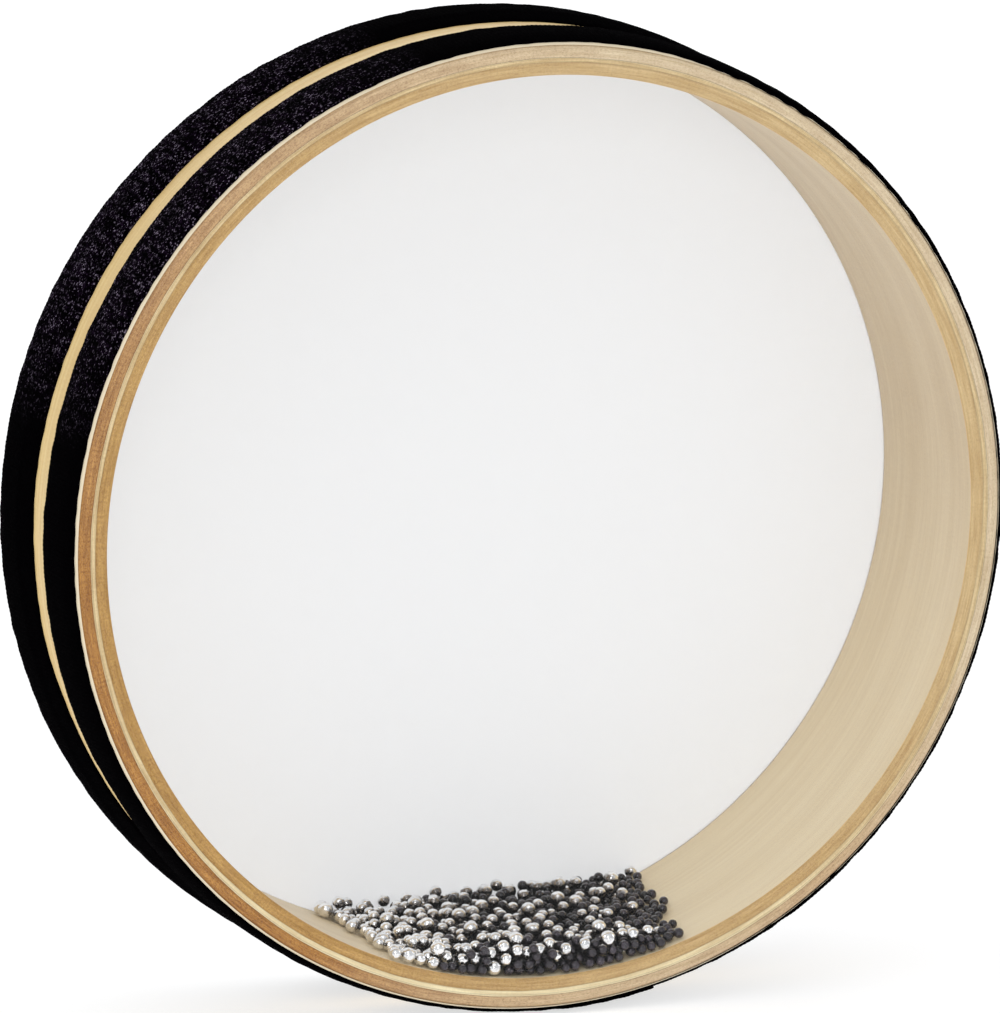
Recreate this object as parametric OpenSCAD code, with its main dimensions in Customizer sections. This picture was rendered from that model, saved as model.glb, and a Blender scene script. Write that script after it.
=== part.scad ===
// Ocean drum: a bent plywood shell with a clear head in front, a white head behind
// and loose metal beads that roll round inside it.
// The origin is the drum's centre and its axis lies along Y. The clear head faces -Y, and Z is up.

/* [Shell] */
// Outside diameter of the wooden shell
shell_d = 254; // [200:1:360]
// Depth of the wooden shell along the drum's axis
shell_depth = 63.5; // [58:0.5:100]
// Thickness of the face plies on the outside and the inside of the shell
face_ply_t = 0.9; // [0.7:0.1:1.5]
// Thickness of the two cross plies under the face plies
cross_ply_t = 2.4; // [1.8:0.1:3]
// Thickness of the core ply in the middle
core_ply_t = 1.4; // [1:0.1:2.5]
// Radius that rounds the rims' outer edges, where the heads bend over them
outer_edge_r = 2; // [1:0.1:3]
// Radius that breaks the rims' inner edges
inner_edge_r = 0.7; // [0.3:0.1:1.2]
// Width of the hairline seam where a ply's two ends meet
seam_w = 0.2; // [0.1:0.05:0.5]

/* [Heads] */
// Thickness of the plastic film of both heads
film_t = 0.25; // [0.15:0.05:0.5]
// Thickness of the glue that holds the folded film on the shell
glue_t = 0.15; // [0.1:0.05:0.3]
// Width of the film's edge past the glue
glue_inset = 1.5; // [1:0.5:4]

/* [Tapes] */
// Width of the woven tapes that cover the folded film
tape_w = 24.8; // [18:0.1:26]
// Thickness of the woven tapes at their edges
tape_edge_t = 0.6; // [0.4:0.05:1]
// Height by which the middle of a tape swells over its edges
tape_crown = 1.3; // [0:0.1:2]
// Distance from a head's face to the near edge of its tape
tape_inset = 2; // [2:0.1:3]
// Width by which a tape reaches past the folded film onto the wood
tape_hold_w = 6.5; // [3:0.5:8]
// Length by which a tape's end laps over its start
tape_lap = 18; // [8:1:40]

/* [Beads] */
// Diameter of the large bright beads
large_bright_d = 4.2; // [3:0.1:5.5]
// Diameter of the small bright beads
small_bright_d = 3.4; // [2.4:0.1:4.5]
// Diameter of the large dark beads
large_dark_d = 2.8; // [2.4:0.1:4]
// Diameter of the small dark beads
small_dark_d = 2.5; // [2.2:0.1:3.5]
// Angle that half of the heap takes up, seen from the drum's axis
heap_angle = 21; // [14:1:26]
// Angle at which the heap's surface rises from the clear head to the white one
heap_rise = 2; // [0:0.2:4]
// Angle at which the heap's surface leans to the right at the white head
heap_lean = 1.6; // [0:0.2:5]
// Gap between a bead and its neighbours
bead_gap = 0.04; // [0.02:0.01:0.1]
// Running clearance between the beads and the shell or the heads
bead_clearance = 0.25; // [0.15:0.05:0.5]

/* [Hidden] */

// Facets of the rings, of the small rounds in their sections and of the beads
ring_fn = 180;
edge_fn = 32;
bead_fn = 16;

// Radii of the plies' faces, from the outside in
shell_r = shell_d / 2;
outer_cross_r = shell_r - face_ply_t;
core_r = outer_cross_r - cross_ply_t;
inner_cross_r = core_r - core_ply_t;
inner_ply_r = inner_cross_r - cross_ply_t;
bore_r = inner_ply_r - face_ply_t;

// Half depth of the wood, and of the drum over its heads
rim_y = shell_depth / 2;
head_y = rim_y + film_t;

// Radii of what lies on the shell's side
film_r = shell_r + glue_t;
tape_r = film_r + film_t;

// A tape's two edges and the edge of the folded film, measured from the drum's middle
tape_near_y = head_y - tape_inset;
tape_far_y = tape_near_y - tape_w;
fold_end_y = tape_far_y + tape_hold_w;

// Height of the folded film over the wood, and where a tape meets the wood beside it
film_step = tape_r - shell_r;
fold_foot_y = fold_end_y - film_step;

// Steps across a tape's swollen outside, and the power that rounds its shoulders
crown_steps = 12;
crown_power = 3;

// The film bends over the rim on this radius, from this height up
bend_r = outer_edge_r + glue_t;
bend_y = rim_y - bend_r;

// Angles of the seams and laps, counted anticlockwise from +X as seen from the clear head
outer_seam_a = 322;
outer_cross_seam_a = 48;
core_seam_a = 104;
inner_cross_seam_a = 252;
inner_seam_a = 158;
front_lap_a = 276;
back_lap_a = 330;

// Kinds of bead, and their radii
LARGE_BRIGHT = 0;
SMALL_BRIGHT = 1;
LARGE_DARK = 2;
SMALL_DARK = 3;
bead_rs = [large_bright_d / 2, small_bright_d / 2, large_dark_d / 2, small_dark_d / 2];

// The heap: a segment of the bore, of which poured beads fill a share
heap_fill_share = 0.615;
heap_segment = bore_r * bore_r / 2 * (2 * heap_angle * PI / 180 - sin(2 * heap_angle));
kind_mix_shares = [0.06, 0.21, 0.29, 0.44];
bead_volume = 4 / 3 * PI * kind_mix_shares * [for (r = bead_rs) pow(r, 3)];
bead_count = floor(heap_fill_share * heap_segment * shell_depth / bead_volume);

// Half width of the strip that beads are poured into, a little wider than the heap
pour_spare_angle = 4;
pour_half_w = bore_r * sin(heap_angle + pour_spare_angle);

// Each bead tries some places, keeps the lowest and is nudged downhill from there
pour_tries = 10;
pour_nudges = 14;
pour_seed = 33;
nudge_share = 1.5;
nudge_fade = 3;
draws_per_try = 4;
draws_per_bead = draws_per_try * pour_tries + 2 * pour_nudges;

// Share of bright beads in the middle of the heap, how it falls towards the right end,
// and how scarce they are in the share of the heap that is poured first
bright_share = 0.56;
bright_fall_share = 0.55;
first_poured_share = 0.5;
first_bright_share = 0.17;
// Share of the large ones among the bright and among the dark beads
large_bright_share = 0.27;
large_dark_share = 0.4;

// Strips across the heap, each as wide as two beads can reach, that say who is near whom
strip_w = 2 * max(bead_rs) + bead_gap;
strip_count = ceil(2 * pour_half_w / strip_w);

// One overrun for all cuts
cut_over = 1;

wood_pale = [0.87, 0.76, 0.56];
wood_tan = [0.76, 0.60, 0.38];
glue_clear = [0.92, 0.90, 0.82];
film_clear = [0.90, 0.94, 0.96, 0.25];
film_white = [0.95, 0.95, 0.94];
tape_black = [0.07, 0.06, 0.07];
bead_bright = [0.78, 0.77, 0.75];
bead_dark = [0.20, 0.19, 0.21];

// Lays a ring that is drawn round Z about the drum's axis, with its top at the clear head
module about_drum_axis() {
    rotate([90, 0, 0]) children();
}

// Puts what is drawn at the clear head at the white one
module at_back() {
    mirror([0, 1, 0]) children();
}

// Half section of the wall: radius across, depth upwards, with both rims' edges rounded
module wall_section() {
    outer_h = 2 * (rim_y - outer_edge_r);
    inner_h = 2 * (rim_y - inner_edge_r);
    middle_r = (shell_r - outer_edge_r + bore_r + inner_edge_r) / 2;
    translate([bore_r + inner_edge_r, -rim_y])
        square([shell_r - outer_edge_r - bore_r - inner_edge_r, shell_depth]);
    translate([middle_r, -outer_h / 2])
        square([shell_r - middle_r, outer_h]);
    translate([bore_r, -inner_h / 2])
        square([middle_r - bore_r, inner_h]);
    for (side = [-1, 1]) {
        translate([shell_r - outer_edge_r, side * outer_h / 2])
            circle(r = outer_edge_r, $fn = edge_fn);
        translate([bore_r + inner_edge_r, side * inner_h / 2])
            circle(r = inner_edge_r, $fn = edge_fn);
    }
}

// Strip of the wall between two radii, bent round until its ends meet in a hairline seam
module ply(r_out, r_in, seam_a) {
    seam_turn = seam_w / r_out * 180 / PI;
    about_drum_axis()
        rotate([0, 0, seam_a])
            rotate_extrude(angle = 360 - seam_turn, $fn = ring_fn)
                intersection() {
                    wall_section();
                    translate([r_in, -rim_y - cut_over])
                        square([r_out - r_in, shell_depth + 2 * cut_over]);
                }
}

module shell_outer_ply() {
    color(wood_pale) ply(shell_r, outer_cross_r, outer_seam_a);
}

module shell_outer_cross_ply() {
    color(wood_tan) ply(outer_cross_r, core_r, outer_cross_seam_a);
}

module shell_core_ply() {
    color(wood_pale) ply(core_r, inner_cross_r, core_seam_a);
}

module shell_inner_cross_ply() {
    color(wood_tan) ply(inner_cross_r, inner_ply_r, inner_cross_seam_a);
}

module shell_inner_ply() {
    color(wood_pale) ply(inner_ply_r, bore_r, inner_seam_a);
}

// Ring of glue between the shell's side and the folded film
module glue_band() {
    glue_end_y = fold_end_y + glue_inset;
    about_drum_axis()
        rotate_extrude($fn = ring_fn)
            translate([shell_r, glue_end_y])
                square([glue_t, bend_y - glue_end_y]);
}

module front_head_glue() {
    color(glue_clear) glue_band();
}

module back_head_glue() {
    color(glue_clear) at_back() glue_band();
}

// Half section of a head: flat across the rim, bent over its edge and folded down the side
module head_section() {
    bend_x = film_r - bend_r;
    translate([0, rim_y])
        square([bend_x, film_t]);
    translate([film_r, fold_end_y])
        square([film_t, bend_y - fold_end_y]);
    translate([bend_x, bend_y])
        intersection() {
            square(bend_r + film_t);
            difference() {
                circle(r = bend_r + film_t, $fn = edge_fn);
                circle(r = bend_r, $fn = edge_fn);
            }
        }
}

module head_film() {
    about_drum_axis()
        rotate_extrude($fn = ring_fn)
            head_section();
}

module front_head_film() {
    color(film_clear) head_film();
}

module back_head_film() {
    color(film_white) at_back() head_film();
}

// What a tape lies on: the folded film, then a slope down its edge, then the wood
function seat_r(y) =
    shell_r + min(film_step, max(0, y - fold_foot_y));

// Swollen outside of a tape, from its near edge to its far one, at a height over its seat
function tape_outside(height) = [
    for (k = [0 : crown_steps])
        let (share = k / crown_steps)
        let (y = tape_near_y - share * tape_w)
        let (swell = tape_crown * (1 - pow(abs(2 * share - 1), crown_power)))
        [seat_r(y) + height + swell, y]
];

function reversed(points) =
    [for (k = [len(points) - 1 : -1 : 0]) points[k]];

// Half section of a tape
module tape_section() {
    inside = [
        [tape_r, tape_near_y],
        [tape_r, fold_end_y],
        [shell_r, fold_foot_y],
        [shell_r, tape_far_y]
    ];
    polygon(concat(inside, reversed(tape_outside(tape_edge_t))));
}

// Half section of a tape's end, rooted in the start that it laps over
module lap_section() {
    root = tape_outside(tape_edge_t / 2);
    polygon(concat(root, reversed(tape_outside(2 * tape_edge_t))));
}

// A tape goes once round the drum, and its end laps over its start
module tape(lap_a) {
    lap_turn = tape_lap / tape_r * 180 / PI;
    about_drum_axis()
        rotate([0, 0, lap_a]) {
            rotate_extrude($fn = ring_fn)
                tape_section();
            rotate_extrude(angle = lap_turn, $fn = ring_fn)
                lap_section();
        }
}

module front_tape() {
    color(tape_black) tape(front_lap_a);
}

module back_tape() {
    color(tape_black) at_back() tape(back_lap_a);
}

// A bead is [x, y, z, radius, kind].
// Lowest height at which a bead can lie at (x, y), on the bore or on the beads near it
function rest_z(x, y, r, near) =
    let (bore_z = -sqrt(pow(bore_r - bead_clearance - r, 2) - x * x))
    max(concat([bore_z], [
        for (b = near)
            let (reach = r + b[3] + bead_gap)
            let (room = reach * reach - pow(b[0] - x, 2) - pow(b[1] - y, 2))
            if (room > 0) b[2] + sqrt(room)
    ]));

// The strip a place lies in, and the beads in it and in the strips beside it
function strip_of(x) =
    min(strip_count - 1, max(0, floor((x + pour_half_w) / strip_w)));

function beads_near(x, strips) =
    let (i = strip_of(x))
    [for (j = [max(0, i - 1) : min(strip_count - 1, i + 1)]) each strips[j]];

// A bead let down at a place, kept inside the strip and off the heads
function let_down(x, y, kind, strips) =
    let (r = bead_rs[kind])
    let (end_y = rim_y - bead_clearance - r)
    let (in_x = min(pour_half_w, max(-pour_half_w, x)))
    let (in_y = min(end_y, max(-end_y, y)))
    [in_x, in_y, rest_z(in_x, in_y, r, beads_near(in_x, strips)), r, kind];

// Height of a bead's underside over the heap's leaning, rising surface
function level(b) =
    let (back_share = (b[1] / rim_y + 1) / 2)
    b[2] - b[3] - b[1] * tan(heap_rise) - b[0] * tan(heap_lean) * back_share;

function lowest(beads) =
    let (low = min([for (b = beads) level(b)]))
    [for (b = beads) if (level(b) == low) b][0];

// Bright beads are common on the left and scarce on the right and at the bottom
function kind_at(x, poured_share, draw_bright, draw_large) =
    let (here = bright_share - bright_fall_share * x / pour_half_w)
    let (bright = here * (poured_share < first_poured_share ? first_bright_share : 1))
    draw_bright < bright
        ? (draw_large < large_bright_share ? LARGE_BRIGHT : SMALL_BRIGHT)
        : (draw_large < large_dark_share ? LARGE_DARK : SMALL_DARK);

function best_try(i, strips, draws) =
    lowest([
        for (k = [0 : pour_tries - 1])
            let (at = i * draws_per_bead + k * draws_per_try)
            let (x = (2 * draws[at] - 1) * pour_half_w)
            let (y = (2 * draws[at + 1] - 1) * rim_y)
            let (kind = kind_at(x, i / bead_count, draws[at + 2], draws[at + 3]))
            let_down(x, y, kind, strips)
    ]);

// The same bead let down a little to the side, which is kept if it lies lower
function nudged(b, k, at, strips, draws) =
    let (step = 2 * nudge_share * b[3] / (1 + k / nudge_fade))
    let (x = b[0] + (draws[at] - 1 / 2) * step)
    let (y = b[1] + (draws[at + 1] - 1 / 2) * step)
    lowest([b, let_down(x, y, b[4], strips)]);

function settled(i, strips, draws) =
    let (from = i * draws_per_bead + draws_per_try * pour_tries)
    [
        for (
            k = 0, b = best_try(i, strips, draws);
            k <= pour_nudges;
            b = k < pour_nudges ? nudged(b, k, from + 2 * k, strips, draws) : b,
            k = k + 1
        )
            if (k == pour_nudges) b
    ][0];

function with_bead(strips, b) =
    let (i = strip_of(b[0]))
    [for (j = [0 : strip_count - 1]) j == i ? concat(strips[j], [b]) : strips[j]];

// All beads, poured one after the other
function poured_heap() =
    let (draws = rands(0, 1, bead_count * draws_per_bead, pour_seed))
    [
        for (
            i = 0, strips = [for (j = [0 : strip_count - 1]) []];
            i <= bead_count;
            strips = i < bead_count ? with_bead(strips, settled(i, strips, draws)) : strips,
            i = i + 1
        )
            if (i == bead_count) for (strip = strips) each strip
    ];

module beads(kind) {
    for (b = poured_heap())
        if (b[4] == kind)
            translate([b[0], b[1], b[2]])
                sphere(r = b[3], $fn = bead_fn);
}

module large_bright_beads() {
    color(bead_bright) beads(LARGE_BRIGHT);
}

module small_bright_beads() {
    color(bead_bright) beads(SMALL_BRIGHT);
}

module large_dark_beads() {
    color(bead_dark) beads(LARGE_DARK);
}

module small_dark_beads() {
    color(bead_dark) beads(SMALL_DARK);
}

shell_outer_ply();
shell_outer_cross_ply();
shell_core_ply();
shell_inner_cross_ply();
shell_inner_ply();
front_head_glue();
back_head_glue();
front_head_film();
back_head_film();
front_tape();
back_tape();
large_bright_beads();
small_bright_beads();
large_dark_beads();
small_dark_beads();
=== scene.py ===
"""Looks of the ocean drum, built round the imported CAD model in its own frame.

The drum's axis is Y, the clear head faces -Y and Z is up. Angles go anticlockwise from +X
as seen from the clear head. All lengths are in metres.
"""

import logging
import math
from dataclasses import dataclass
from enum import Enum
from typing import ClassVar

import bmesh
import bpy
import numpy as np
from mathutils import Matrix

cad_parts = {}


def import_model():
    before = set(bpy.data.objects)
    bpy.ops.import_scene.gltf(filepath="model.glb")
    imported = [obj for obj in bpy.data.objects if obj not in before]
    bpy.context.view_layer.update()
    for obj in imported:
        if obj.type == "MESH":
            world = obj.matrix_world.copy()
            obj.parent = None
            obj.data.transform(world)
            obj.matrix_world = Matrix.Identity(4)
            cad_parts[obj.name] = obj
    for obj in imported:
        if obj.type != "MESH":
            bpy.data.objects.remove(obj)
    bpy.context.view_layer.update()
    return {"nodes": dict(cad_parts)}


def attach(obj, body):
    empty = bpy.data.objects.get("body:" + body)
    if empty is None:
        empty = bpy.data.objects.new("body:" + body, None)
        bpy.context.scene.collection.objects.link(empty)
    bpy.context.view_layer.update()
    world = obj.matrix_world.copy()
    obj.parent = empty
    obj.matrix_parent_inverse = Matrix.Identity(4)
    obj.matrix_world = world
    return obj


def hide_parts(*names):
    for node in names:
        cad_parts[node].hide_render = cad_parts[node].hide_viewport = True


LOG = logging.getLogger("ocean_drum")
MM = 0.001
TURN = 2.0 * math.pi


class Body(Enum):
    """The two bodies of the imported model."""

    DRUM = "drum"
    BEADS = "bead_load"


class Slot(Enum):
    """Material slots of the record."""

    WOOD_FACE = "wood_face"
    WOOD_CROSS = "wood_cross"
    CLEAR_FILM = "clear_film"
    WHITE_FILM = "white_film"
    TAPE = "woven_tape"
    BRIGHT_BEAD = "bright_bead"
    DARK_BEAD = "dark_bead"


class Side(Enum):
    """Which rim a piece belongs to, as the sign of its place on the axis."""

    FRONT = -1.0
    BACK = 1.0


@dataclass(frozen=True)
class DrumSizes:
    """Real sizes of the drum, the same as the CAD model's."""

    shell_r: float = 127.0 * MM
    bore_r: float = 119.0 * MM
    rim_y: float = 31.75 * MM
    face_ply_t: float = 0.9 * MM
    cross_ply_t: float = 2.4 * MM
    outer_edge_r: float = 2.0 * MM
    inner_edge_r: float = 0.7 * MM
    film_t: float = 0.25 * MM
    glue_t: float = 0.15 * MM
    tape_t: float = 0.6 * MM
    tape_crown: float = 1.3 * MM
    crown_power: float = 3.0
    tape_w: float = 24.8 * MM
    tape_inset: float = 2.0 * MM
    tape_hold_w: float = 6.5 * MM
    tape_lap: float = 18.0 * MM

    @property
    def film_r(self) -> float:
        """Inner radius of the folded film."""
        return self.shell_r + self.glue_t

    @property
    def tape_r(self) -> float:
        """Inner radius of a tape over the folded film."""
        return self.film_r + self.film_t

    @property
    def head_y(self) -> float:
        """Half depth of the drum over its heads."""
        return self.rim_y + self.film_t

    @property
    def fold_end_y(self) -> float:
        """Distance of the folded film's edge from the drum's middle."""
        return self.tape_far_y + self.tape_hold_w

    @property
    def tape_near_y(self) -> float:
        """Distance of a tape's edge by its rim from the drum's middle."""
        return self.head_y - self.tape_inset

    @property
    def tape_far_y(self) -> float:
        """Distance of a tape's inner edge from the drum's middle."""
        return self.tape_near_y - self.tape_w


SIZES = DrumSizes()
HAIR = 0.03 * MM
WHITE = (1.0, 1.0, 1.0)
Drift = tuple[tuple[float, float], ...]


def grey(tone: float) -> tuple[float, float, float]:
    """A grey with the same share of red, green and blue."""
    return (tone, tone, tone)


def ring_wobble(angle: np.ndarray, size: float, waves: tuple[int, ...], seed: int) -> np.ndarray:
    """Smooth unevenness round a ring: a sum of sines with whole numbers of waves a turn.

    Args:
        angle: Angles round the ring, in radians.
        size: Largest departure that all waves reach together.
        waves: Waves a turn of each sine.
        seed: Seed of the phases and shares.

    Returns:
        The departure at each angle.
    """
    rng = np.random.default_rng(seed)
    phases = rng.uniform(0.0, TURN, len(waves))
    shares = rng.uniform(0.5, 1.0, len(waves))
    shares = size * shares / shares.sum()
    total = np.zeros_like(angle)
    for count, phase, share in zip(waves, phases, shares):
        total = total + share * np.sin(count * angle + phase)
    return total


class MeshMaker:
    """Puts grids of points into Blender meshes."""

    SHARP_ANGLE = math.radians(38.0)

    @staticmethod
    def new_object(
        name: str, points: np.ndarray, faces: np.ndarray, uv: np.ndarray | None = None
    ) -> bpy.types.Object:
        """Makes an object of quads or triangles.

        Args:
            name: Name of the piece.
            points: Points, one a row.
            faces: Point numbers of each face, one face a row, all with the same count.
            uv: Flat place of each face corner, in the order of the faces.

        Returns:
            The new object, linked to the scene, with smooth faces.
        """
        mesh = bpy.data.meshes.new(name)
        corners = faces.shape[1]
        mesh.vertices.add(len(points))
        mesh.vertices.foreach_set("co", points.astype(np.float32).ravel())
        mesh.loops.add(faces.size)
        mesh.loops.foreach_set("vertex_index", faces.astype(np.int32).ravel())
        mesh.polygons.add(len(faces))
        starts = np.arange(0, faces.size, corners, dtype=np.int32)
        mesh.polygons.foreach_set("loop_start", starts)
        mesh.polygons.foreach_set("use_smooth", np.ones(len(faces), dtype=bool))
        mesh.update(calc_edges=True)
        mesh.validate()
        if uv is not None:
            layer = mesh.uv_layers.new(name="surface")
            layer.data.foreach_set("uv", uv.astype(np.float32).ravel())
        obj = bpy.data.objects.new(name, mesh)
        bpy.context.scene.collection.objects.link(obj)
        return obj

    @classmethod
    def tube_object(
        cls, name: str, grid: np.ndarray, u: np.ndarray, v: np.ndarray, round_: bool
    ) -> bpy.types.Object:
        """Makes a closed solid from a loop of points that is carried along a ring.

        Point (i, j) of the grid is point j of the loop at place i of the ring. Each quad
        joins places i and i + 1 and loop points j and j + 1, and the loop closes on itself.

        Args:
            name: Name of the piece.
            grid: Points, shaped (places, loop points, 3).
            u: Length along the ring at each place.
            v: Length along the loop at each of its points, with one more for its close.
            round_: Whether the last place joins the first. If not, both ends get caps.

        Returns:
            The new object.
        """
        places, loop = grid.shape[0], grid.shape[1]
        i = np.arange(places if round_ else places - 1)[:, None]
        j = np.arange(loop)[None, :]
        i2, j2 = (i + 1) % places, (j + 1) % loop
        a, b = i * loop + j, i2 * loop + j
        c, d = i2 * loop + j2, i * loop + j2
        quads = np.stack([a, b, c, d], axis=-1).reshape(-1, 4)
        u1, v1 = u[:-1, None], v[None, :-1]
        u2, v2 = u[1:, None], v[None, 1:]
        shape = quads.shape[0]
        flat = [np.broadcast_arrays(x, y) for x, y in ((u1, v1), (u2, v1), (u2, v2), (u1, v2))]
        uv = np.stack([np.stack([x, y], axis=-1).reshape(shape, 2) for x, y in flat], axis=1)
        obj = cls.new_object(name, grid.reshape(-1, 3), quads, uv)
        if not round_:
            cls.cap_ends(obj, loop, places)
        cls.turn_outwards(obj)
        return obj

    @staticmethod
    def cap_ends(obj: bpy.types.Object, loop: int, places: int) -> None:
        """Closes both ends of a tube with one flat face each.

        Args:
            obj: The tube.
            loop: Points in its loop.
            places: Places along it.
        """
        shape = bmesh.new()
        shape.from_mesh(obj.data)
        shape.verts.ensure_lookup_table()
        layer = shape.loops.layers.uv.active
        last = (places - 1) * loop
        for numbers in (range(loop), range(last, last + loop)):
            face = shape.faces.new([shape.verts[n] for n in numbers])
            for corner in face.loops:
                x, y, z = corner.vert.co
                corner[layer].uv = (y, math.hypot(x, z))
        shape.to_mesh(obj.data)
        shape.free()

    @classmethod
    def turn_outwards(cls, obj: bpy.types.Object) -> None:
        """Turns all faces of a closed solid outwards and keeps its true edges crisp.

        Args:
            obj: The solid.
        """
        shape = bmesh.new()
        shape.from_mesh(obj.data)
        bmesh.ops.recalc_face_normals(shape, faces=shape.faces)
        shape.to_mesh(obj.data)
        shape.free()
        obj.data.set_sharp_from_angle(angle=cls.SHARP_ANGLE)

    @classmethod
    def disc_object(
        cls, name: str, radius: np.ndarray, depth: np.ndarray, places: int
    ) -> bpy.types.Object:
        """Makes a solid of revolution whose profile starts and ends on the axis.

        A point of the profile at radius r and depth y goes to (r cos a, y, r sin a).

        Args:
            name: Name of the piece.
            radius: Radius of each point of the profile, 0 at both ends.
            depth: Place on the axis of each point of the profile.
            places: Places round the axis.

        Returns:
            The new object.
        """
        angle = np.arange(places) * TURN / places
        r, y = radius[1:-1], depth[1:-1]
        ring = np.stack(
            [
                np.outer(np.cos(angle), r),
                np.broadcast_to(y, (places, len(r))),
                np.outer(np.sin(angle), r),
            ],
            axis=-1,
        )
        count = len(r)
        poles = np.array([[0.0, depth[0], 0.0], [0.0, depth[-1], 0.0]])
        points = np.concatenate([ring.reshape(-1, 3), poles])
        i = np.arange(places)[:, None]
        j = np.arange(count - 1)[None, :]
        i2 = (i + 1) % places
        a, b = i * count + j, i2 * count + j
        walls = np.stack([a, b, b + 1, a, b + 1, a + 1], axis=-1)
        first, last = len(points) - 2, len(points) - 1
        flat_i, flat_i2 = i[:, 0] * count, i2[:, 0] * count
        start = np.stack([np.full(places, first), flat_i2, flat_i], axis=-1)
        end = np.stack([np.full(places, last), flat_i + count - 1, flat_i2 + count - 1], axis=-1)
        faces = np.concatenate([walls.reshape(-1, 3), start, end])
        place = points[faces]
        uv = np.stack([place[..., 0], place[..., 2]], axis=-1)
        obj = cls.new_object(name, points, faces, uv)
        cls.turn_outwards(obj)
        return obj


class Nodes:
    """Builds one material's nodes."""

    def __init__(self, name: str) -> None:
        """Starts an empty material with a shader and an output.

        Args:
            name: Name of the material.
        """
        self.material = bpy.data.materials.new(name)
        self.material.use_nodes = True
        self.tree = self.material.node_tree
        self.tree.nodes.clear()
        self.shader = self.add("ShaderNodeBsdfPrincipled")
        output = self.add("ShaderNodeOutputMaterial")
        self.link(self.shader.outputs["BSDF"], output.inputs["Surface"])

    def add(self, kind: str, **sockets: object) -> bpy.types.Node:
        """Adds a node and sets its input sockets by name.

        Args:
            kind: Blender's name for the kind of node.
            sockets: Values of its inputs, with _ for a space.

        Returns:
            The new node.
        """
        node = self.tree.nodes.new(kind)
        for name, value in sockets.items():
            node.inputs[name.replace("_", " ")].default_value = value
        return node

    def link(self, start: bpy.types.NodeSocket, end: bpy.types.NodeSocket) -> None:
        """Joins two sockets."""
        self.tree.links.new(start, end)

    def surface_place(self, scale: tuple[float, float, float]) -> bpy.types.NodeSocket:
        """The piece's own flat place, stretched.

        Args:
            scale: How many units a metre becomes along, across and out of the surface.

        Returns:
            The place.
        """
        uv = self.add("ShaderNodeUVMap")
        uv.uv_map = "surface"
        return self.mapped(uv.outputs["UV"], scale)

    def object_place(self, scale: float) -> bpy.types.NodeSocket:
        """The place in the drum's frame, stretched by a scale a metre."""
        place = self.add("ShaderNodeTexCoord")
        return self.mapped(place.outputs["Object"], (scale, scale, scale))

    def mapped(
        self, place: bpy.types.NodeSocket, scale: tuple[float, float, float]
    ) -> bpy.types.NodeSocket:
        """A place stretched by a scale.

        Args:
            place: The place.
            scale: The scale along each axis.

        Returns:
            The stretched place.
        """
        mapping = self.add("ShaderNodeMapping", Scale=scale)
        self.link(place, mapping.inputs["Vector"])
        return mapping.outputs["Vector"]

    def noise(
        self, place: bpy.types.NodeSocket, detail: float = 3.0, roughness: float = 0.55
    ) -> bpy.types.NodeSocket:
        """Cloudy values of about 0.5.

        Args:
            place: The place, already stretched to the cloud's size.
            detail: How many finer clouds are added.
            roughness: How strong the finer clouds are.

        Returns:
            The value.
        """
        noise = self.add("ShaderNodeTexNoise", Scale=1.0, Detail=detail, Roughness=roughness)
        self.link(place, noise.inputs["Vector"])
        return noise.outputs["Fac"]

    def ramp(
        self, factor: bpy.types.NodeSocket, stops: list[tuple[float, tuple[float, float, float]]]
    ) -> bpy.types.NodeSocket:
        """Colours between stops.

        Args:
            factor: Value that picks the colour.
            stops: Places from 0 to 1 and their colours.

        Returns:
            The colour.
        """
        ramp = self.add("ShaderNodeValToRGB")
        self.link(factor, ramp.inputs["Fac"])
        elements = ramp.color_ramp.elements
        while len(elements) < len(stops):
            elements.new(0.5)
        for element, (place, colour) in zip(elements, stops):
            element.position = place
            element.color = (*colour, 1.0)
        return ramp.outputs["Color"]

    def mix(
        self,
        factor: bpy.types.NodeSocket | float,
        first: bpy.types.NodeSocket,
        second: bpy.types.NodeSocket,
        way: str = "MIX",
    ) -> bpy.types.NodeSocket:
        """Two colours mixed.

        Args:
            factor: Share of the second one.
            first: First colour.
            second: Second colour.
            way: Blender's name for the way to mix.

        Returns:
            The mixed colour.
        """
        mix = self.add("ShaderNodeMix")
        mix.data_type = "RGBA"
        mix.blend_type = way
        if isinstance(factor, float):
            mix.inputs[0].default_value = factor
        else:
            self.link(factor, mix.inputs[0])
        self.link(first, mix.inputs[6])
        self.link(second, mix.inputs[7])
        return mix.outputs[2]

    def spread(
        self, value: bpy.types.NodeSocket, low: float, high: float, to_low: float, to_high: float
    ) -> bpy.types.NodeSocket:
        """A value carried from one span to another, and held at its ends.

        Args:
            value: The value.
            low: Start of the first span.
            high: End of the first span.
            to_low: What the start becomes.
            to_high: What the end becomes.

        Returns:
            The carried value.
        """
        span = self.add("ShaderNodeMapRange")
        span.inputs["From Min"].default_value = low
        span.inputs["From Max"].default_value = high
        span.inputs["To Min"].default_value = to_low
        span.inputs["To Max"].default_value = to_high
        self.link(value, span.inputs["Value"])
        return span.outputs["Result"]

    def larger(
        self, first: bpy.types.NodeSocket, second: bpy.types.NodeSocket
    ) -> bpy.types.NodeSocket:
        """The larger one of two numbers.

        Args:
            first: One number.
            second: The other.

        Returns:
            The larger one.
        """
        pick = self.add("ShaderNodeMath")
        pick.operation = "MAXIMUM"
        self.link(first, pick.inputs[0])
        self.link(second, pick.inputs[1])
        return pick.outputs["Value"]

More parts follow.
